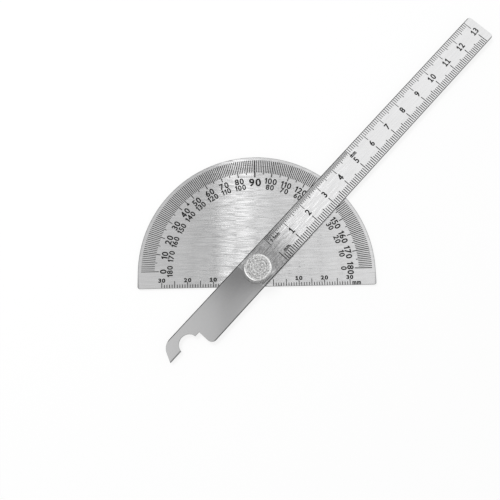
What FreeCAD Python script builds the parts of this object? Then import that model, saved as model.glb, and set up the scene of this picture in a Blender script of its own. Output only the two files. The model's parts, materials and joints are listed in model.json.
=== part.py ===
import FreeCAD, Part
import math
import os

# Bevel protractor: a half-round head plate, a blade that turns on a stud through the plate, and a
# thumb nut that clamps the blade. Millimetres. The origin is on the pivot axis at the back face of
# the head plate. +X runs along the base edge, +Y towards the 90 degree mark, +Z out of the front.

# Head plate
head_radius = 46.6           # pivot to the round edge
base_drop = 6.6              # pivot to the straight base edge
plate_thickness = 1.0
base_corner_radius = 0.8     # two corners at the ends of the base edge

# Blade, along +U from the pivot to the square end and along -U to the hook
blade_width = 13.3
blade_thickness = 1.0
rule_reach = 145.0           # pivot to the square end
hook_reach = 48.4            # pivot to the tip of the hook
blade_angle = 46.4           # from +X to the rule, at rest
end_corner_radius = 1.5      # two corners at the square end
hook_back_radius = 5.0       # round back of the hook
hook_back_offset = 6.2       # from the tip to the centre of the round back, along the blade
hook_edge_length = 5.8       # straight edge of the hook, from the tip to the throat
hook_edge_height = 0.2       # straight edge of the hook, above the middle line
throat_radius = 3.85
throat_drop = 0.2            # centre of the throat below the middle line
ledge_height = 0.2           # small ledge beside the throat, above the middle line
ledge_length = 2.15
heel_radius = 2.3            # round corner where the end of the blade meets its lower edge
bevel_width = 0.45           # ground bevel along the straight edge of the hook
bevel_depth = 0.6            # leaves a thin land at the back

# Pivot stud, pressed into the plate from the back
journal_radius = 3.0         # round part that the blade turns on
neck_allowance = 0.1         # the square neck clears the journal by this much on each flat
stud_head_rim = 0.12         # the head reaches past the corners of the neck
stud_head_thickness = 0.5
stud_head_recess = 0.05      # the head lies this far below the back face
thread_radius = 1.95         # plain shank at the mean size of an M4 thread
thread_engagement = 3.7      # shank inside the clamped nut

# Washer and thumb nut
washer_radius = 4.6
washer_thickness = 0.5
nut_radius = 5.25
nut_cap_thickness = 0.9      # closed top of the nut, above its bore
nut_top_chamfer = 0.45
nut_bottom_chamfer = 0.3
dimple_radius = 0.7          # turning centre in the top face
dimple_depth = 0.35

# Clearances
press_clearance = 0.02       # stud in plate, each side
journal_clearance = 0.03     # blade on journal, radial
thread_clearance = 0.05      # nut on shank, radial
thread_end_clearance = 0.5   # from the end of the shank to the end of the nut's bore
journal_setback = 0.04       # the journal ends below the blade, so the washer bears on the blade
washer_clearance = 0.15      # washer on shank, radial
face_clearance = 0.02        # between faces that slide on each other
edge_break = 0.1             # chamfer on the outlines of both plates

# Sizes that follow
neck_width = 2 * (journal_radius + neck_allowance)
stud_head_radius = neck_width / math.sqrt(2) + stud_head_rim
nut_bore_depth = thread_engagement + thread_end_clearance
nut_height = nut_bore_depth + nut_cap_thickness

# Levels along the pivot axis
blade_bottom = plate_thickness + face_clearance
blade_top = blade_bottom + blade_thickness
washer_bottom = blade_top + face_clearance
washer_top = washer_bottom + washer_thickness
nut_bottom = washer_top + face_clearance
shank_top = nut_bottom + thread_engagement

ORIGIN = FreeCAD.Vector(0, 0, 0)
UP = FreeCAD.Vector(0, 0, 1)


def point(x, y, z=0.0):
    return FreeCAD.Vector(x, y, z)


def on_circle(centre, radius, degrees):
    """The point of a circle at an angle from +X."""
    turn = math.radians(degrees)
    return centre + point(radius * math.cos(turn), radius * math.sin(turn))


def arc(centre, radius, start, end):
    """An arc from one angle to another; the sweep is short enough that its middle is in between."""
    middle = (start + end) / 2
    corners = [on_circle(centre, radius, degrees) for degrees in (start, middle, end)]
    return Part.Arc(*corners).toShape()


def joined(pieces):
    """A closed face from arcs in order, with straight lines wherever two of them do not meet."""
    edges = []
    for here, after in zip(pieces, pieces[1:] + pieces[:1]):
        edges.append(here)
        start = here.lastVertex(True).Point
        end = after.firstVertex(True).Point
        if start.distanceToPoint(end) > 1e-6:
            edges.append(Part.makeLine(start, end))
    return Part.Face(Part.Wire(edges))


def plate_from(face, bottom, thickness):
    """A flat plate from an outline, with both of its outlines broken by a small chamfer."""
    solid = face.extrude(UP * thickness)
    solid.translate(UP * bottom)
    rims = [edge for edge in solid.Edges if edge.BoundBox.ZLength < edge_break]
    return solid.makeChamfer(edge_break, rims)


def cylinder(radius, bottom, top):
    return Part.makeCylinder(radius, top - bottom, UP * bottom, UP)


def square_bar(width, bottom, top):
    corner = point(-width / 2, -width / 2, bottom)
    return Part.makeBox(width, width, top - bottom, corner)


def head_plate():
    """Half-round plate with a strip below the pivot, and the stepped hole for the stud."""
    left_corner = point(-head_radius + base_corner_radius, -base_drop + base_corner_radius)
    right_corner = point(head_radius - base_corner_radius, -base_drop + base_corner_radius)
    outline = joined([
        arc(ORIGIN, head_radius, 0, 180),
        arc(left_corner, base_corner_radius, 180, 270),
        arc(right_corner, base_corner_radius, 270, 360),
    ])
    plate = plate_from(outline, 0, plate_thickness)
    head_top = stud_head_recess + stud_head_thickness
    plate = plate.cut(cylinder(stud_head_radius + press_clearance, -plate_thickness, head_top))
    neck_hole = square_bar(neck_width + 2 * press_clearance, 0, 2 * plate_thickness)
    return plate.cut(neck_hole)


def pivot_stud():
    """Flush head, square neck, round journal and threaded shank, in one piece."""
    head_top = stud_head_recess + stud_head_thickness
    journal_top = blade_top - journal_setback
    stud = cylinder(stud_head_radius, stud_head_recess, head_top)
    stud = stud.fuse(square_bar(neck_width, stud_head_recess, plate_thickness))
    stud = stud.fuse(cylinder(journal_radius, stud_head_recess, journal_top))
    stud = stud.fuse(cylinder(thread_radius, stud_head_recess, shank_top))
    return stud.removeSplitter()


def throat_angle(height):
    """Where the right half of the throat crosses a height above the middle line, from +U."""
    return math.degrees(math.asin((height + throat_drop) / throat_radius))


def throat_centre():
    """Centre of the throat, placed so that the straight edge of the hook has its length."""
    hook_side = math.radians(throat_angle(hook_edge_height))
    corner = -hook_reach + hook_edge_length
    return point(corner + throat_radius * math.cos(hook_side), -throat_drop)


def hook_back():
    """The round back of the hook, from the upper edge to where the straight flank leaves it.

    The flank runs to the tip and is tangent to the arc.
    """
    half = blade_width / 2
    centre = point(-hook_reach + hook_back_offset, half - hook_back_radius)
    tip = point(-hook_reach, hook_edge_height)
    to_tip = tip - centre
    direction = math.degrees(math.atan2(to_tip.y, to_tip.x)) % 360
    half_angle = math.degrees(math.acos(hook_back_radius / to_tip.Length))
    return arc(centre, hook_back_radius, 90, direction - half_angle)


def blade_outline():
    """The blade with its pivot at the origin and its rule along +X."""
    half = blade_width / 2
    throat = throat_centre()
    hook_side = 180 - throat_angle(hook_edge_height)
    ledge_side = throat_angle(ledge_height)
    tip = point(-hook_reach, hook_edge_height)
    hook_edge = Part.makeLine(tip, on_circle(throat, throat_radius, hook_side))
    ledge_start = on_circle(throat, throat_radius, ledge_side)
    ledge = Part.makeLine(ledge_start, ledge_start + point(ledge_length, 0))
    blade_end = ledge_start.x + ledge_length
    heel = point(blade_end + heel_radius, -half + heel_radius)
    upper_corner = point(rule_reach - end_corner_radius, half - end_corner_radius)
    lower_corner = point(rule_reach - end_corner_radius, -half + end_corner_radius)
    return joined([
        arc(upper_corner, end_corner_radius, 0, 90),
        hook_back(),
        hook_edge,
        arc(throat, throat_radius, hook_side, ledge_side),
        ledge,
        arc(heel, heel_radius, 180, 270),
        arc(lower_corner, end_corner_radius, 270, 360),
    ])


def hook_bevel():
    """The wedge ground off the front of the hook along its straight edge."""
    margin = 1.0
    slope = bevel_depth / bevel_width
    start = -hook_reach - margin
    section = Part.makePolygon([
        point(start, hook_edge_height + bevel_width + margin, blade_top + slope * margin),
        point(start, hook_edge_height - margin, blade_top - bevel_depth - slope * margin),
        point(start, hook_edge_height - margin, blade_top + slope * margin),
        point(start, hook_edge_height + bevel_width + margin, blade_top + slope * margin),
    ])
    return Part.Face(section).extrude(point(throat_centre().x - start, 0))


def blade():
    """Rule and hook in one strip, bored for the journal and turned to its angle at rest."""
    strip = plate_from(blade_outline(), blade_bottom, blade_thickness)
    strip = strip.cut(hook_bevel())
    bore = cylinder(journal_radius + journal_clearance, 0, blade_top + blade_thickness)
    strip = strip.cut(bore)
    strip.rotate(ORIGIN, UP, blade_angle)
    return strip


def washer():
    ring = cylinder(washer_radius, washer_bottom, washer_top)
    hole = cylinder(thread_radius + washer_clearance, 0, washer_top + washer_thickness)
    return ring.cut(hole)


def thumb_nut():
    """Blind round nut: chamfered at both ends, bored from below, with a turning centre on top."""
    top = nut_bottom + nut_height
    profile = Part.makePolygon([
        point(0, 0, nut_bottom),
        point(nut_radius - nut_bottom_chamfer, 0, nut_bottom),
        point(nut_radius, 0, nut_bottom + nut_bottom_chamfer),
        point(nut_radius, 0, top - nut_top_chamfer),
        point(nut_radius - nut_top_chamfer, 0, top),
        point(dimple_radius, 0, top),
        point(0, 0, top - dimple_depth),
        point(0, 0, nut_bottom),
    ])
    nut = Part.Face(profile).revolve(ORIGIN, UP, 360)
    bore = cylinder(thread_radius + thread_clearance, 0, nut_bottom + nut_bore_depth)
    return nut.cut(bore)


os.makedirs("parts", exist_ok=True)
sub_parts = {
    "head_plate": head_plate(),
    "pivot_stud": pivot_stud(),
    "blade": blade(),
    "washer": washer(),
    "thumb_nut": thumb_nut(),
}
for node, shape in sub_parts.items():
    shape.exportStep(f"parts/{node}.step")
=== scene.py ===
"""Looks of the bevel protractor: brushed steel plates, black-filled graduations and a knurled clamping nut.

Lengths are written in millimetres and turned into metres by MM. The head's own frame has its origin on the
pivot axis, x along the base edge and y towards the 90 degree mark. The blade's own directions are "along",
from the pivot to the far end of the rule, and "over", square to it and towards its upper left edge.
"""

import json
import math

import bmesh
import bpy
import numpy as np
from mathutils import Matrix, Vector


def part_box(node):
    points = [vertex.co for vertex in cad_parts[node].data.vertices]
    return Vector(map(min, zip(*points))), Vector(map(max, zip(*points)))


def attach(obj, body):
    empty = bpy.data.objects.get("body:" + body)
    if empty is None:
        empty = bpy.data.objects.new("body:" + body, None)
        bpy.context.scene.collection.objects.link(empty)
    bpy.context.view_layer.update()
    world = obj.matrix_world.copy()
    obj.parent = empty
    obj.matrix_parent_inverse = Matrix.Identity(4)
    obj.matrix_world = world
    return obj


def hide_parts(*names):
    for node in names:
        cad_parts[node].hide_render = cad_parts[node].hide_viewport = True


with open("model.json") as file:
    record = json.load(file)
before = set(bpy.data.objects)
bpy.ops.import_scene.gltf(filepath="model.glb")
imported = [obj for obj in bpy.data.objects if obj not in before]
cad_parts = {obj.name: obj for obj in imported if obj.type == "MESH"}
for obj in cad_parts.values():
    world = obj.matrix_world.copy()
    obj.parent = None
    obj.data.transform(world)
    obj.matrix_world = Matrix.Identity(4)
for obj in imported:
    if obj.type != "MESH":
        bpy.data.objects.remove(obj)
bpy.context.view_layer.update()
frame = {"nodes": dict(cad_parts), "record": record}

MM = 0.001

# ---------------------------------------------------------------- places read from the frame

head_low, head_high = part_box("head_plate")
blade_low, blade_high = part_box("blade")
nut_low, nut_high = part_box("thumb_nut")
record = frame["record"]
blade_edge = next(m for m in record["mounts"] if m["name"] == "blade_edge")

HEAD_RADIUS = (head_high.x - head_low.x) / 2 / MM
HEAD_TOP = head_high.z / MM
BASE_EDGE = head_low.y / MM
BLADE_TOP = blade_high.z / MM
BLADE_ANGLE = math.atan2(blade_edge["axis"][0], -blade_edge["axis"][1])
BLADE_HALF = np.dot(blade_edge["pos_m"], blade_edge["axis"]) / MM
NUT_RADIUS = (nut_high.x - nut_low.x) / 2 / MM
NUT_FOOT, NUT_TOP = nut_low.z / MM, nut_high.z / MM

# ---------------------------------------------------------------- sizes of the graduations, in millimetres

FILL_PROUD = 0.008          # the paint fill stands this far above the steel
FILL_DEPTH = 0.03           # and reaches this far into it

RIM = 1.33                  # plain rim outside the degree marks
DEGREE_MARK = {1: 5.25, 5: 6.05, 10: 6.85, 90: 7.3}
DEGREE_MARK_WIDTH = {1: 0.31, 5: 0.32, 10: 0.36, 90: 0.5}
DEGREE_MARK_CUT = (0, 90, 180), (1.0, 1.15, 0.78)    # cut wider at the top than at the left: angles, shares
OUTER_ROW, OUTER_HEIGHT = 36.7, 2.6
INNER_ROW, INNER_HEIGHT = 34.1, 2.3
NINETY_ROW, NINETY_HEIGHT = 35.8, 3.35
POINTER_TIP, POINTER_FOOT, POINTER_HALF = 39.3, 37.85, 0.62

BASE_ZERO = (-7.21, 6.24)   # the two zero marks of the base edge, either side of the blade
BASE_LENGTH = 30
BASE_MARK = {1: 1.4, 5: 2.75, 10: 2.3}
BASE_MARK_WIDTH, BASE_MARGIN = 0.3, 0.12
BASE_LABEL_RISE, BASE_LABEL_HEIGHT, BASE_LABEL_STRETCH = 3.05, 1.6, 1.2
UNIT_PLACE, UNIT_HEIGHT = (38.8, 0.98), 1.3

RULE_ZERO = 10.84           # the rule's zero, from the pivot
RULE_CM = 13
RULE_HALF_MM_CM = 5
LOWER_MARK = {1: 2.6, 5: 3.3, 10: 4.55}
UPPER_MARK = {0.5: 1.5, 1: 2.05, 5: 2.8, 10: 3.95}
LOWER_MARK_WIDTH, UPPER_MARK_WIDTH = 0.36, 0.27
LOWER_MARGIN, UPPER_MARGIN = 0.45, 0.2
RULE_NUMERAL_OVER, RULE_NUMERAL_HEIGHT = 0.5, 2.75


# ---------------------------------------------------------------- shader writing

class Value:
    """A shader socket that Python's operators work on: each adds the Math node it stands for."""

    def __init__(self, finish, socket):
        self.finish, self.socket = finish, socket

    def _sum(self, kind, first, second):
        return self.finish.node("ShaderNodeMath", {"operation": kind}, {0: first, 1: second})

    def __add__(self, other):
        return self._sum("ADD", self, other)

    def __radd__(self, other):
        return self._sum("ADD", other, self)

    def __sub__(self, other):
        return self._sum("SUBTRACT", self, other)

    def __rsub__(self, other):
        return self._sum("SUBTRACT", other, self)

    def __mul__(self, other):
        return self._sum("MULTIPLY", self, other)

    def __rmul__(self, other):
        return self._sum("MULTIPLY", other, self)

    def __truediv__(self, other):
        return self._sum("DIVIDE", self, other)

    def __rtruediv__(self, other):
        return self._sum("DIVIDE", other, self)

    def __neg__(self):
        return self._sum("MULTIPLY", self, -1.0)

    def __pow__(self, other):
        return self._sum("POWER", self, other)

    def __abs__(self):
        return self._sum("ABSOLUTE", self, 0.0)


class Finish:
    """A node tree under construction: a material's or the world's."""

    def __init__(self, owner):
        owner.use_nodes = True
        self.owner, self.tree = owner, owner.node_tree
        self.tree.nodes.clear()

    def node(self, kind, settings=None, inputs=None, out=0):
        """Adds one node: its settings first, then the values or links of its sockets. Returns the output named or
        numbered out."""
        made = self.tree.nodes.new(kind)
        for key, setting in (settings or {}).items():
            setattr(made, key, setting)
        for key, given in (inputs or {}).items():
            if isinstance(given, Value):
                self.tree.links.new(given.socket, made.inputs[key])
            else:
                made.inputs[key].default_value = given
        return None if out is None else Value(self, made.outputs[out])

    def position(self, turn=0.0, scale=(1000, 1000, 1000), shift=(0, 0, 0)):
        """Object coordinates turned about the upright axis by -turn and then scaled, for patterns that follow a
        plate's grain."""
        here = self.node("ShaderNodeTexCoord", out="Object")
        turned = self.node("ShaderNodeMapping", {"vector_type": "POINT"},
                           {"Vector": here, "Rotation": (0, 0, -turn)})
        return self.node("ShaderNodeMapping", {"vector_type": "POINT"},
                         {"Vector": turned, "Scale": scale, "Location": shift})

    def part(self, vector, axis):
        return self.node("ShaderNodeSeparateXYZ", inputs={"Vector": vector}, out=axis)

    def noise(self, vector, scale=1.0, detail=2.0, roughness=0.5):
        """Noise from about 0.25 to 0.75 round a middle of 0.5."""
        return self.node("ShaderNodeTexNoise", {"noise_dimensions": "3D"},
                         {"Vector": vector, "Scale": scale, "Detail": detail, "Roughness": roughness}, out=0)

    def ease(self, value, start, end, low=0.0, high=1.0):
        """Smoothly from low at start to high at end."""
        return self.node("ShaderNodeMapRange", {"interpolation_type": "SMOOTHSTEP"},
                         {"Value": value, "From Min": start, "From Max": end, "To Min": low, "To Max": high})

    def bound(self, value, low=0.0, high=1.0):
        return self.node("ShaderNodeClamp", inputs={"Value": value, "Min": low, "Max": high})

    def grey(self, level, warm=(1.0, 1.0, 1.0)):
        """A colour of the given level, tinted by warm."""
        return self.node("ShaderNodeVectorMath", {"operation": "SCALE"}, {0: warm, "Scale": level})

    def surface(self, **sockets):
        """The Principled shader and the material's output."""
        names = {key.replace("_", " "): given for key, given in sockets.items()}
        shader = self.node("ShaderNodeBsdfPrincipled", inputs=names)
        self.node("ShaderNodeOutputMaterial", inputs={"Surface": shader}, out=None)
        return self.owner


def new_finish(name):
    return Finish(bpy.data.materials.new(name))


# ---------------------------------------------------------------- steel

def across_grain(paint, turn, slope):
    """The surface normal leant across the grain by slope, and put back to unit length. Slope is a shader value
    that is positive on one side of each fine groove and negative on the other."""
    side = (-math.sin(turn), math.cos(turn), 0)
    side_now = paint.node("ShaderNodeVectorTransform",
                          {"vector_type": "VECTOR", "convert_from": "OBJECT", "convert_to": "WORLD"},
                          {0: side})
    lean = paint.node("ShaderNodeVectorMath", {"operation": "SCALE"}, {0: side_now, "Scale": slope})
    plain = paint.node("ShaderNodeNewGeometry", out="Normal")
    leant = paint.node("ShaderNodeVectorMath", {"operation": "ADD"}, {0: plain, 1: lean})
    return paint.node("ShaderNodeVectorMath", {"operation": "NORMALIZE"}, {0: leant})


def brushed_steel(name, turn, level, streaks, spread, zones):
    """Rolled steel brushed along one direction: fine grooves that spread reflections across the grain by spread,
    and faint streaks of lighter and darker metal along it, as strong as streaks, round a tone of level. Zones
    changes the tone and the grooves over the plate."""
    paint = new_finish(name)
    coarse = paint.noise(paint.position(turn, (120, 1150, 1150)), detail=1.0)
    middle = paint.noise(paint.position(turn, (160, 2600, 2600), (7, 3, 1)), detail=1.0)
    fine = paint.noise(paint.position(turn, (120, 12000, 12000), (2, 9, 5)), detail=0.0)
    cloud = paint.noise(paint.position(turn, (50, 90, 90), (4, 4, 4)), detail=3.0)
    streak = ((coarse - 0.5) * 0.14 + (middle - 0.5) * 0.30) * streaks + (cloud - 0.5) * 0.05
    slope = ((coarse - 0.5) * 0.02 + (middle - 0.5) * 0.04) * streaks + (fine - 0.5) * spread
    tone, slope, rough = zones(paint, level, streak, slope)
    facing = abs(paint.part(paint.node("ShaderNodeNewGeometry", out="True Normal"), "Z"))
    # Painted shade: the side walls and chamfers have their colour darkened by 40 per cent, standing in for darker
    # surroundings in their reflection. The same mask makes them rougher and leaves out the grooves.
    walls_painted_dark = paint.ease(facing, 0.55, 0.95, 1.0, 0.0)
    tone = paint.bound(tone * (1.0 - walls_painted_dark * 0.6), 0.02, 0.95)
    return paint.surface(Base_Color=paint.grey(tone, (1.0, 1.0, 1.005)), Metallic=1.0,
                         Roughness=paint.bound(rough + walls_painted_dark * 0.3, 0.05, 0.9),
                         Normal=across_grain(paint, turn, slope * (1.0 - walls_painted_dark)))


def head_zones(paint, level, streak, slope):
    """The head is brushed all over, with painted shade along its round rim: a darker line there."""
    here = paint.node("ShaderNodeTexCoord", out="Object")
    radius = paint.node("ShaderNodeVectorMath", {"operation": "LENGTH"}, {0: here}, out="Value") / MM
    # Painted shade: the colour within 0.4 mm of the rim is darkened by up to 35 per cent into a dark outline.
    rim = paint.ease(radius, HEAD_RADIUS - 0.4, HEAD_RADIUS - 0.15)
    return (level + streak) * (1.0 - rim * 0.35), slope, 0.12


NUT_RUBS = ((-1.6, 5.9), (3.4, -5.0))    # where the nut has rubbed the blade bright, along and over


def blade_zones(paint, level, streak, slope):
    """The blade's three lengths: a smooth satin tail, a darker, mottled length round the pivot, and the brushed rule, a
    little lighter. Its long edges carry painted shade: a dark line along each."""
    place = paint.position(BLADE_ANGLE)
    along, over = paint.part(place, "X"), paint.part(place, "Y")
    lean = along + over * 0.09
    # Darker and mottled from the tail's end out to between 9 and 22 mm along, where the rule grows lighter.
    darker_near_pivot = paint.ease(lean, -3.9, -3.4) * paint.ease(along, 9.0, 22.0, 1.0, 0.0)
    tail = paint.ease(lean, -3.9, -3.4, 1.0, 0.0)
    mottle = paint.noise(paint.position(BLADE_ANGLE, (1100, 2600, 1800)), detail=2.0)
    # Painted shade: the outermost quarter millimetre of each long edge is darkened by 85 per cent into a dark line,
    # standing in for dark reflections and shadow there.
    edge = paint.ease(abs(over), BLADE_HALF - 0.38, BLADE_HALF - 0.24)
    rule = paint.ease(along, 9.0, 22.0)
    # A narrow lighter line across the blade where the tail ends.
    from_tail_end = (lean + 3.65) / 0.16
    line = paint.node("ShaderNodeMath", {"operation": "EXPONENT"}, {0: -(from_tail_end * from_tail_end)})
    rubbed = 0
    for rub_along, rub_over in NUT_RUBS:
        off = ((along - rub_along) ** 2 + (over - rub_over) ** 2) / 1.6
        rubbed = rubbed + paint.node("ShaderNodeMath", {"operation": "EXPONENT"}, {0: -off})
    tone = (level + streak * (1.0 - tail * 0.92) + rule * 0.09 + darker_near_pivot * ((mottle - 0.5) * 0.55 - 0.21)
            + line * 0.16 + rubbed * 0.2)
    tone = tone * (1.0 - edge * 0.85)
    slope = slope * (1.0 - tail * 0.96)
    rough = 0.12 - tail * 0.01
    return tone, slope, rough


def turned_steel(name, level, roughness, pitch=5200):
    """Turned metal: fine rings round the pivot axis, as a bump, with light streaks."""
    paint = new_finish(name)
    here = paint.node("ShaderNodeTexCoord", out="Object")
    flat = paint.node("ShaderNodeVectorMath", {"operation": "MULTIPLY"}, {0: here, 1: (1, 1, 0)})
    radius = paint.node("ShaderNodeVectorMath", {"operation": "LENGTH"}, {0: flat}, out="Value")
    rings = paint.noise(paint.node("ShaderNodeCombineXYZ", inputs={"X": radius * pitch}), detail=1.0)
    speck = paint.noise(here, scale=2600, detail=2.0)
    bump = paint.node("ShaderNodeBump", inputs={"Strength": 1.0, "Distance": 0.00004,
                                                "Height": rings * 0.6 + speck * 0.4})
    tone = level + (rings - 0.5) * 0.08 + (speck - 0.5) * 0.08
    return paint.surface(Base_Color=paint.grey(tone), Metallic=1.0,
                         Roughness=paint.bound(roughness + (speck - 0.5) * 0.2), Normal=bump)


def plated_nut():
    """Nickel-plated brass, turned on its face: rings and a scatter of small pits that catch the light. Its wall carries
    painted shade, lighter near the foot, and its top chamfer a painted highlight.
    """
    paint = new_finish("nickel_plate")
    here = paint.node("ShaderNodeTexCoord", out="Object")
    flat = paint.node("ShaderNodeVectorMath", {"operation": "MULTIPLY"}, {0: here, 1: (1, 1, 0)})
    radius = paint.node("ShaderNodeVectorMath", {"operation": "LENGTH"}, {0: flat}, out="Value")
    rings = paint.noise(paint.node("ShaderNodeCombineXYZ", inputs={"X": radius * 1900}), detail=1.0)
    pits = paint.noise(here, scale=1700, detail=2.0, roughness=0.6)
    grit = paint.noise(here, scale=3600, detail=2.0)
    bump = paint.node("ShaderNodeBump", inputs={"Strength": 1.0, "Distance": 0.0001,
                                                "Height": rings * 0.7 + pits * 0.8 + grit * 0.3})
    facing = paint.part(paint.node("ShaderNodeNewGeometry", out="True Normal"), "Z")
    wall = paint.ease(facing, 0.2, 0.6, 1.0, 0.0)
    chamfer = paint.ease(facing, 0.45, 0.6) * paint.ease(facing, 0.8, 0.95, 1.0, 0.0)
    foot = paint.ease(paint.part(here, "Z") / MM, NUT_FOOT + 0.4, NUT_FOOT + 1.1, 1.0, 0.0)
    speckle = (pits - 0.5) * 1.5 + (grit - 0.5) * 0.8 + (rings - 0.5) * 1.1
    # Painted shade and highlights: the wall's colour is darkened by 60 per cent, but only by 10 per cent near the foot
    # as a painted highlight there, and the top chamfer is lightened by 0.28 as a painted highlight.
    tone = (0.57 + speckle * (1.0 - chamfer * 0.7)) * (1.0 - wall * (0.6 - foot * 0.5)) + chamfer * 0.28
    tone = paint.bound(tone, 0.06, 0.95)
    return paint.surface(Base_Color=paint.grey(tone, (1.0, 1.0, 0.995)), Metallic=1.0,
                         Roughness=paint.bound(0.2 + (grit - 0.5) * 0.25, 0.06, 0.8), Normal=bump)


def black_fill():
    """Black etching paint, slightly uneven and a little worn."""
    paint = new_finish("black_fill")
    wear = paint.noise(paint.position(), scale=2.2, detail=3.0)
    tone = 0.010 + paint.ease(wear, 0.5, 0.75) * 0.03
    return paint.surface(Base_Color=paint.grey(tone), Metallic=0.0,
                         Roughness=paint.bound(0.42 + wear * 0.2), Specular_IOR_Level=0.2)


# ---------------------------------------------------------------- meshes

def add_piece(name, points, faces, paint, body, slot):
    """A closed mesh from points in millimetres with one material, riding on a body. Slot, its place in the mesh, is not
    used.
    """
    mesh = bpy.data.meshes.new(name)
    mesh.from_pydata((np.asarray(points) * MM).tolist(), [], [list(map(int, f)) for f in faces])
    mesh.validate()
    mesh.update()
    piece = bpy.data.objects.new(name, mesh)
    bpy.context.scene.collection.objects.link(piece)
    mesh.materials.append(paint)
    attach(piece, body)
    return piece


def bars(start, heading, length, width, surface):
    """Thin closed bars. Each has its eight corners at start + heading * length * i + square * width * (j - 1/2),
    with i and j each 0 or 1 and square the heading turned a quarter turn, once below the surface and once just
    above it."""
    start, heading = np.atleast_2d(start).astype(float), np.atleast_2d(heading).astype(float)
    count = len(start)
    length, width = np.broadcast_to(length, count), np.broadcast_to(width, count)
    square = np.stack([-heading[:, 1], heading[:, 0]], 1)
    i, j = np.array([0, 1, 1, 0]), np.array([0, 0, 1, 1]) - 0.5
    flat = (start[:, None] + heading[:, None] * (length[:, None] * i)[..., None]
            + square[:, None] * (width[:, None] * j)[..., None])
    points = np.zeros((count, 2, 4, 3))
    points[..., :2] = flat[:, None]
    points[:, 0, :, 2], points[:, 1, :, 2] = surface - FILL_DEPTH, surface + FILL_PROUD
    box = np.array([[3, 2, 1, 0], [4, 5, 6, 7], [0, 1, 5, 4], [1, 2, 6, 5], [2, 3, 7, 6], [3, 0, 4, 7]])
    faces = (box[None] + 8 * np.arange(count)[:, None, None]).reshape(-1, 4)
    return points.reshape(-1, 3), faces


def joined(parts):
    """Several sets of points and faces as one."""
    points, faces, total = [], [], 0
    for some_points, some_faces in parts:
        points.append(np.asarray(some_points))
        faces += [[int(k) + total for k in f] for f in some_faces]
        total += len(some_points)
    return np.concatenate(points), faces


def graded(steps, table):
    """For whole or half steps, the table's entry for the largest of its divisions that divides each step."""
    chosen = np.zeros(len(steps))
    for division in sorted(k for k in table):
        left = steps % division
        chosen = np.where(np.isclose(left, 0) | np.isclose(left, division), table[division], chosen)
    return chosen


GLYPHS = {}
SMALL_WEIGHT = 0.05         # small letters are cut with a wider line for their size
LETTER_GAP = 0.085
ONE_ROOM = 0.30             # a 1 takes at least this much room on its line
# signs drawn here instead of taken from the built-in letters: a 1 with a flag, one with a foot too, and a 4
OUTLINES = {
    "1": [[(0.20, 0), (0.30, 0), (0.30, 0.69), (0.23, 0.69), (0.08, 0.565), (0.08, 0.47), (0.20, 0.565)]],
    "footed 1": [[(0.06, 0), (0.44, 0), (0.44, 0.08), (0.30, 0.08), (0.30, 0.69), (0.23, 0.69), (0.08, 0.565),
                  (0.08, 0.47), (0.20, 0.565), (0.20, 0.08), (0.06, 0.08)]],
    "4": [[(0.29, 0), (0.39, 0), (0.39, 0.16), (0.48, 0.16), (0.48, 0.25), (0.39, 0.25), (0.39, 0.69), (0.29, 0.69),
           (0.01, 0.25), (0.01, 0.16), (0.29, 0.16)],
          [(0.29, 0.25), (0.12, 0.25), (0.29, 0.52)]],
}


def footed(value):
    """A number's signs with footed ones."""
    return ["footed 1" if sign == "1" else sign for sign in str(value)]


def glyph(sign, weight=0.03):
    """One character's closed mesh with its corners merged, its outline moved outward by weight: points and
    faces."""
    if (sign, weight) not in GLYPHS:
        curve = bpy.data.curves.new("glyph", "CURVE" if sign in OUTLINES else "FONT")
        if sign in OUTLINES:
            curve.dimensions, curve.fill_mode = "2D", "BOTH"
            for loop in OUTLINES[sign]:
                spline = curve.splines.new("POLY")
                spline.points.add(len(loop) - 1)
                spline.points.foreach_set("co", [value for x, y in loop for value in (x, y, 0, 1)])
                spline.use_cyclic_u = True
        else:
            curve.body, curve.size, curve.resolution_u = sign, 1.0, 4
        curve.offset, curve.extrude = weight, 0.5
        writer = bpy.data.objects.new("glyph", curve)
        bpy.context.scene.collection.objects.link(writer)
        bpy.context.view_layer.update()
        graph = bpy.context.evaluated_depsgraph_get()
        mesh = bpy.data.meshes.new_from_object(writer.evaluated_get(graph))
        work = bmesh.new()
        work.from_mesh(mesh)
        bmesh.ops.remove_doubles(work, verts=work.verts, dist=1e-5)
        bmesh.ops.recalc_face_normals(work, faces=work.faces)
        work.verts.ensure_lookup_table()
        points = np.array([v.co for v in work.verts])
        faces = [[v.index for v in f.verts] for f in work.faces]
        work.free()
        bpy.data.objects.remove(writer)
        bpy.data.curves.remove(curve)
        bpy.data.meshes.remove(mesh)
        GLYPHS[sign, weight] = (points, faces)
    return GLYPHS[sign, weight]


def lettering(words, surface, weight=0.03):
    """Words as closed raised letters. Each word is (signs, centre, up direction, height, width factor): its
    letters stand side by side with an even gap, and a point (a, b) of the line goes to
    centre + right * a + up * b."""
    cap = glyph("0")[0][:, 1].max() - glyph("0")[0][:, 1].min()
    foot = glyph("0")[0][:, 1].min()
    parts = []
    for text, centre, up, height, stretch in words:
        size = height / cap
        up = np.array(up, float) / np.hypot(*up)
        right = np.array([up[1], -up[0]])
        pen, laid = 0.0, []
        for sign in text:
            points, faces = glyph(sign, weight)
            left, wide = points[:, 0].min(), np.ptp(points[:, 0])
            room = max(wide, ONE_ROOM) if sign == "1" else wide
            laid.append((points, faces, pen - left + (room - wide) / 2))
            pen += room + LETTER_GAP
        pen -= LETTER_GAP
        for points, faces, shift in laid:
            a = (points[:, 0] + shift - pen / 2) * size * stretch
            b = (points[:, 1] - foot - cap / 2) * size
            flat = np.asarray(centre) + a[:, None] * right + b[:, None] * up
            z = np.where(points[:, 2] > 0, surface + FILL_PROUD, surface - FILL_DEPTH)
            parts.append((np.column_stack([flat, z]), faces))
    return joined(parts)


def radial(angle):
    return np.stack([np.cos(angle), np.sin(angle)], -1)


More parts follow.
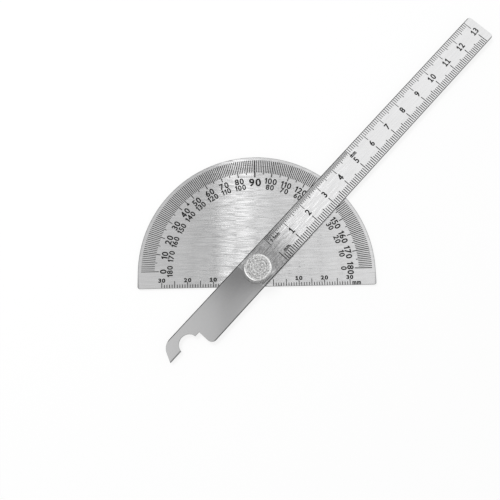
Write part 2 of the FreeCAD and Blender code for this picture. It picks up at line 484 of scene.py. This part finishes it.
def on_blade(along, over):
    """A place on the blade in the head's frame at rest."""
    c, s = math.cos(BLADE_ANGLE), math.sin(BLADE_ANGLE)
    along, over = np.asarray(along, float), np.asarray(over, float)
    return np.stack([along * c - over * s, along * s + over * c], -1)


# ---------------------------------------------------------------- graduations

ink = black_fill()


def degree_marks():
    """Radial bars at every degree from 0 to 180, from the plain rim inwards, longer at every fifth and tenth."""
    degrees = np.arange(181)
    length = np.where(degrees == 90, DEGREE_MARK[90],
                      graded(degrees, {k: v for k, v in DEGREE_MARK.items() if k < 90}))
    width = np.where(degrees == 90, DEGREE_MARK_WIDTH[90],
                     graded(degrees, {k: v for k, v in DEGREE_MARK_WIDTH.items() if k < 90}))
    outward = radial(np.radians(degrees))
    width = width * np.interp(degrees, *DEGREE_MARK_CUT)
    return bars(outward * (HEAD_RADIUS - RIM), -outward, length, width, HEAD_TOP)


def degree_numerals():
    """Two rows of numerals every ten degrees, counting opposite ways, tops outward, with one larger 90."""
    words = [("90", radial(math.pi / 2) * NINETY_ROW, (0, 1), NINETY_HEIGHT, 1.04)]
    for value in [*range(0, 90, 10), *range(100, 190, 10)]:
        for angle, row, height in ((180 - value, OUTER_ROW, OUTER_HEIGHT), (value, INNER_ROW, INNER_HEIGHT)):
            up = radial(math.radians(angle))
            words.append((str(value), up * row, up, height, 1.0))
    return lettering(words, HEAD_TOP)


def angle_pointers():
    """A filled triangle at 45 and at 135 degrees, its tip outward: a prism with its three corners at the foot's
    two ends and the tip."""
    parts = []
    for degrees in (45, 135):
        up = radial(math.radians(degrees))
        side = np.array([up[1], -up[0]])
        foot = up * POINTER_FOOT
        flat = np.array([foot - side * POINTER_HALF, foot + side * POINTER_HALF, up * POINTER_TIP])
        points = np.concatenate([np.column_stack([flat, np.full(3, z)])
                                 for z in (HEAD_TOP - FILL_DEPTH, HEAD_TOP + FILL_PROUD)])
        parts.append((points, [[2, 1, 0], [3, 4, 5], [0, 1, 4, 3], [1, 2, 5, 4], [2, 0, 3, 5]]))
    return joined(parts)


def base_marks():
    """Upright bars at every millimetre out from each zero mark, from just inside the base edge inwards."""
    steps = np.arange(BASE_LENGTH + 1)
    x = np.concatenate([BASE_ZERO[0] - steps, BASE_ZERO[1] + steps])
    length = graded(np.concatenate([steps, steps]), BASE_MARK)
    length = np.where(np.concatenate([steps, steps]) == 0, BASE_MARK[5], length)
    foot = np.column_stack([x, np.full(len(x), BASE_EDGE + BASE_MARGIN)])
    return bars(foot, np.tile([0.0, 1.0], (len(x), 1)), length - BASE_MARGIN, BASE_MARK_WIDTH, HEAD_TOP)


def base_numerals():
    words = []
    for value in (10, 20, 30):
        for x in (BASE_ZERO[0] - value, BASE_ZERO[1] + value):
            place = (x, BASE_EDGE + BASE_LABEL_RISE)
            words.append((footed(value), place, (0, 1), BASE_LABEL_HEIGHT, BASE_LABEL_STRETCH))
    return lettering(words, HEAD_TOP, SMALL_WEIGHT)


def unit_letters(text, centre, up, height, surface):
    """Small unit letters: like numerals, but the height is that of the small letters."""
    small = np.ptp(glyph("m")[0][:, 1]) / np.ptp(glyph("0")[0][:, 1])
    return lettering([(text, centre, up, height / small, 0.85)], surface, SMALL_WEIGHT)


def blade_marks():
    """Bars along both edges of the rule: millimetres on the lower edge; half millimetres for the first five centimetres
    and millimetres beyond them on the upper edge."""
    lower = np.arange(RULE_CM * 10 + 1)
    upper = np.concatenate([np.arange(RULE_HALF_MM_CM * 20) / 2,
                            np.arange(RULE_HALF_MM_CM * 10, RULE_CM * 10 + 1)])
    over = on_blade(0, 1)
    low = bars(on_blade(RULE_ZERO + lower, -BLADE_HALF + LOWER_MARGIN), np.tile(over, (len(lower), 1)),
               graded(lower, LOWER_MARK), LOWER_MARK_WIDTH, BLADE_TOP)
    high = bars(on_blade(RULE_ZERO + upper, BLADE_HALF - UPPER_MARGIN), np.tile(-over, (len(upper), 1)),
                graded(upper, UPPER_MARK), UPPER_MARK_WIDTH, BLADE_TOP)
    return joined([low, high])


def blade_numerals():
    over = on_blade(0, 1)
    words = [(footed(k), on_blade(RULE_ZERO + 10 * k, RULE_NUMERAL_OVER), over, RULE_NUMERAL_HEIGHT, 0.95)
             for k in range(1, RULE_CM + 1)]
    return joined([lettering(words, BLADE_TOP),
                   unit_letters("0.5mm", on_blade(14.4, 3.6), over, 0.93, BLADE_TOP),
                   unit_letters("mm", on_blade(14.2, -2.6), over, 1.12, BLADE_TOP),
                   unit_letters("mm", on_blade(61.8, 3.2), over, 1.2, BLADE_TOP)])


add_piece("degree_marks", *degree_marks(), ink, "head", "head_steel")
add_piece("degree_numerals", *degree_numerals(), ink, "head", "head_steel")
add_piece("angle_pointers", *angle_pointers(), ink, "head", "head_steel")
add_piece("base_marks", *base_marks(), ink, "head", "head_steel")
add_piece("base_numerals",
          *joined([base_numerals(), unit_letters("mm", (UNIT_PLACE[0], BASE_EDGE + UNIT_PLACE[1]), (0, 1),
                                                 UNIT_HEIGHT, HEAD_TOP)]), ink, "head", "head_steel")
add_piece("blade_marks", *blade_marks(), ink, "blade", "blade_steel")
add_piece("blade_numerals", *blade_numerals(), ink, "blade", "blade_steel")


# ---------------------------------------------------------------- the clamping nut

NUT_BORE_RADIUS, NUT_BORE_DEPTH = 2.0, 4.2
NUT_TOP_CHAMFER, NUT_FOOT_CHAMFER = 0.45, 0.3
NUT_SHARP = math.radians(28)    # edges that turn by more stay sharp
DIMPLE_RADIUS, DIMPLE_DEPTH = 0.7, 0.35
KNURL_TEETH, KNURL_DEPTH, KNURL_SLANT = 48, 0.2, math.radians(35)
AROUND = KNURL_TEETH * 8


def nut_profile():
    """The nut's half outline as (radius, height) from the closed end of the bore, down its wall, out along the
    foot, up the knurled wall and in over the top to the bottom of the dimple, with how much of the knurl each
    point carries."""
    wall = np.linspace(NUT_FOOT + NUT_FOOT_CHAMFER, NUT_TOP - NUT_TOP_CHAMFER, 34)
    fade = np.clip(np.minimum(wall - wall[0], wall[-1] - wall) / 0.35, 0, 1)
    bore = [(0, NUT_FOOT + NUT_BORE_DEPTH), (NUT_BORE_RADIUS, NUT_FOOT + NUT_BORE_DEPTH),
            (NUT_BORE_RADIUS, NUT_FOOT + 0.2), (NUT_BORE_RADIUS + 0.2, NUT_FOOT),
            (NUT_RADIUS - NUT_FOOT_CHAMFER - 0.05, NUT_FOOT),
            (NUT_RADIUS - NUT_FOOT_CHAMFER + 0.04, NUT_FOOT + 0.04)]
    top = [(NUT_RADIUS - NUT_TOP_CHAMFER + 0.06, NUT_TOP - 0.06),
           (NUT_RADIUS - NUT_TOP_CHAMFER - 0.04, NUT_TOP - 0.01),
           (NUT_RADIUS - NUT_TOP_CHAMFER - 0.15, NUT_TOP)]
    bowl = np.linspace(0, math.pi / 2, 9)
    dimple = np.column_stack([DIMPLE_RADIUS * np.cos(bowl), NUT_TOP - DIMPLE_DEPTH * np.sin(bowl)])
    dimple[-1, 0] = 0
    outline = np.concatenate([bore, np.column_stack([np.full(len(wall), NUT_RADIUS), wall]), top,
                              [(DIMPLE_RADIUS + 0.12, NUT_TOP), (DIMPLE_RADIUS + 0.04, NUT_TOP - 0.012)], dimple])
    share = np.concatenate([np.zeros(len(bore)), fade, np.zeros(len(outline) - len(bore) - len(wall))])
    return outline, share


def knurled_nut():
    """A surface of revolution of the nut's outline. On the wall its radius is less by the knurl's depth times
    the larger of two triangle waves, one in angle + height and one in angle - height, to the power 1.5, which
    leaves rows of diamonds."""
    outline, share = nut_profile()
    angle = np.arange(AROUND) / AROUND * 2 * math.pi
    turn = angle[None, :] * KNURL_TEETH / (2 * math.pi)
    climb = outline[:, 1:2] * KNURL_TEETH / (2 * math.pi * NUT_RADIUS) * math.tan(KNURL_SLANT)
    groove = np.maximum(np.abs(((turn + climb) % 1) * 2 - 1),
                        np.abs(((turn - climb) % 1) * 2 - 1))
    radius = outline[:, 0:1] - KNURL_DEPTH * share[:, None] * groove ** 1.5
    height = np.broadcast_to(outline[:, 1:2], radius.shape)
    points = np.stack([radius * np.cos(angle), radius * np.sin(angle), height], -1)
    rows = len(outline)
    first, last = 1, rows - 2
    ring = np.arange(AROUND)
    body = points[first:last + 1].reshape(-1, 3)
    level = np.arange(last - first)[:, None] * AROUND
    here, after = ring[None] + level, (ring[None] + 1) % AROUND + level
    quads = np.stack([here, after, after + AROUND, here + AROUND], -1).reshape(-1, 4)
    points = np.concatenate([body, [[0, 0, outline[0, 1]], [0, 0, outline[-1, 1]]]])
    low, high = len(points) - 2, len(points) - 1
    rim = (last - first) * AROUND
    bottom = [[low, (k + 1) % AROUND, k] for k in range(AROUND)]
    top = [[high, rim + k, rim + (k + 1) % AROUND] for k in range(AROUND)]
    return points, [*quads.tolist(), *bottom, *top]


nut = add_piece("knurled_nut", *knurled_nut(), plated_nut(), "nut", "nut_plate")
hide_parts("thumb_nut")
nut.data.polygons.foreach_set("use_smooth", np.ones(len(nut.data.polygons), bool))
nut.data.set_sharp_from_angle(angle=NUT_SHARP)

# ---------------------------------------------------------------- the CAD nodes' finishes

for node, paint in (("head_plate", brushed_steel("head_brushed", 0.0, 0.62, 0.62, 1.1, head_zones)),
                    ("blade", brushed_steel("blade_brushed", BLADE_ANGLE, 0.64, 0.4, 0.5, blade_zones)),
                    ("pivot_stud", turned_steel("stud_turned", 0.6, 0.25)),
                    ("washer", turned_steel("washer_tumbled", 0.66, 0.3, 1500))):
    for place in frame["nodes"][node].material_slots:
        place.material = paint

# ---------------------------------------------------------------- floor, studio and camera

FLOOR_REACH, FLOOR_DROP = 3000, 0.02    # the floor's half width, and how far it lies under the tool's back


def stage_floor():
    """A plain white floor, larger than the view, that shows white to the camera and in metal and keeps the
    shadow. From below it is clear, so that the tool's back can be seen."""
    mesh = bpy.data.meshes.new("floor")
    corners = [(x * FLOOR_REACH * MM, y * FLOOR_REACH * MM, -FLOOR_DROP * MM)
               for x, y in ((-1, -1), (1, -1), (1, 1), (-1, 1))]
    mesh.from_pydata(corners, [], [(0, 1, 2, 3)])
    floor = bpy.data.objects.new("floor", mesh)
    bpy.context.scene.collection.objects.link(floor)
    paint = new_finish("floor_white")
    camera, glossy, through = [paint.node("ShaderNodeLightPath", out=f"Is {kind} Ray")
                               for kind in ("Camera", "Glossy", "Transmission")]
    seen = paint.bound(camera + glossy + through)
    matt = paint.node("ShaderNodeBsdfDiffuse", inputs={"Color": (0.9, 0.9, 0.9, 1)})
    glow = paint.node("ShaderNodeEmission", inputs={"Color": (1, 1, 1, 1), "Strength": 1.06})
    above = paint.node("ShaderNodeMixShader", inputs={0: seen * 0.75, 1: matt, 2: glow})
    below = paint.node("ShaderNodeNewGeometry", out="Backfacing")
    clear = paint.node("ShaderNodeBsdfTransparent")
    both = paint.node("ShaderNodeMixShader", inputs={0: below, 1: above, 2: clear})
    paint.node("ShaderNodeOutputMaterial", inputs={"Surface": both}, out=None)
    mesh.materials.append(paint.owner)


SIDE_LAMPS = math.radians(35)    # heading of the two tall side lamps, which face each other across the tool
MATT_LIGHT = 0.62                # the world's level for everything but glossy and camera rays


def studio_world():
    """White to the camera and plain grey to matt surfaces. What a glossy surface sees overhead is shaped like a
    photographer's tent: a long bright strip with a dark seam along one side, and a soft darker place beside it
    where no card hangs. A direction is told by its lean from straight up: p to +x, q to +y."""
    world = bpy.data.worlds.new("studio")
    bpy.context.scene.world = world
    air = Finish(world)
    way = air.node("ShaderNodeTexCoord", out="Generated")
    x, y, z = air.part(way, "X"), air.part(way, "Y"), air.part(way, "Z")
    rise = air.node("ShaderNodeMath", {"operation": "MAXIMUM"}, {0: z, 1: 0.05})
    p, q = x / rise, y / rise
    base = (air.ease(p, -0.20, -0.05, 0.87, 0.73) + air.ease(p, -0.045, 0.06, 0.0, 0.29)
            + air.ease(p, 0.08, 0.25, 0.0, 0.08))
    strip = (air.ease(p, -0.044, -0.030) * air.ease(p, 0.0, 0.061, 1.0, 0.0)
             * air.ease(abs(q - 0.075), 0.157, 0.257, -0.26, 1.2))
    seam = (air.ease(p, -0.09, -0.062) * air.ease(p, -0.052, -0.040, 1.0, 0.0)
            * air.ease(q, 0.12, 0.16))
    gap_p, gap_q = (p - 0.082) / 0.15, (q - 0.149) / 0.044
    off = -(gap_p * gap_p + gap_q * gap_q)
    hollow = 1.0 - air.node("ShaderNodeMath", {"operation": "EXPONENT"}, {0: off}) * 0.9
    tent = (base + strip - seam * 0.14) * hollow
    glossy = air.node("ShaderNodeLightPath", out="Is Glossy Ray")
    facing_lamps = x * math.cos(SIDE_LAMPS) + y * math.sin(SIDE_LAMPS)
    between = y * math.cos(SIDE_LAMPS) - x * math.sin(SIDE_LAMPS)
    lamps = (facing_lamps * facing_lamps - between * between) / (x * x + y * y + 0.01)
    sides = air.ease(lamps, -0.7, 0.7, 0.3, 1.25)
    strength = air.ease(z, 0.25, 0.6, 1.0, 0.0) * sides + air.ease(z, 0.25, 0.6) * tent
    light = glossy * strength + (1.0 - glossy) * MATT_LIGHT
    camera = air.node("ShaderNodeLightPath", out="Is Camera Ray")
    glow = air.node("ShaderNodeBackground",
                    inputs={"Color": (1, 1, 1, 1), "Strength": light * (1.0 - camera) + camera})
    air.node("ShaderNodeOutputWorld", inputs={"Surface": glow}, out=None)


def soft_lamp(name, place, size, power):
    """A square lamp at place that faces the pivot and isn't itself seen in the metal."""
    lamp = bpy.data.lights.new(name, "AREA")
    lamp.shape, lamp.size, lamp.energy = "SQUARE", size * MM, power
    held = bpy.data.objects.new(name, lamp)
    held.location = Vector(place) * MM
    held.rotation_euler = (-Vector(place)).to_track_quat("-Z", "Y").to_euler()
    held.visible_glossy = False
    bpy.context.scene.collection.objects.link(held)


CAMERA_PLACE, CAMERA_TARGET = (-7.06, -29.71, 194.66), (-2.66, 7.96, 1.0)
CAMERA_ROLL = math.radians(-1.31)
CAMERA_LENS = 36.0               # the lens is as long as the sensor is wide


def set_camera():
    """The camera stands over the tool and a little in front of it, and looks down at the head."""
    place, target = Vector(CAMERA_PLACE), Vector(CAMERA_TARGET)
    back = (place - target).normalized()
    right = Vector((0, 1, 0)).cross(back).normalized()
    up = back.cross(right)
    turn = Matrix((right, up, back)).transposed() @ Matrix.Rotation(CAMERA_ROLL, 3, "Z")
    lens = bpy.data.cameras.new("camera")
    lens.sensor_width = lens.lens = CAMERA_LENS
    lens.clip_start, lens.clip_end = 0.01, 20.0
    camera = bpy.data.objects.new("camera", lens)
    camera.matrix_world = Matrix.Translation(place * MM) @ turn.to_4x4()
    bpy.context.scene.collection.objects.link(camera)
    bpy.context.scene.camera = camera


stage_floor()
studio_world()
soft_lamp("key", (-260, 330, 520), 260, 1.6)
set_camera()
bpy.context.scene.view_settings.view_transform = "Standard"
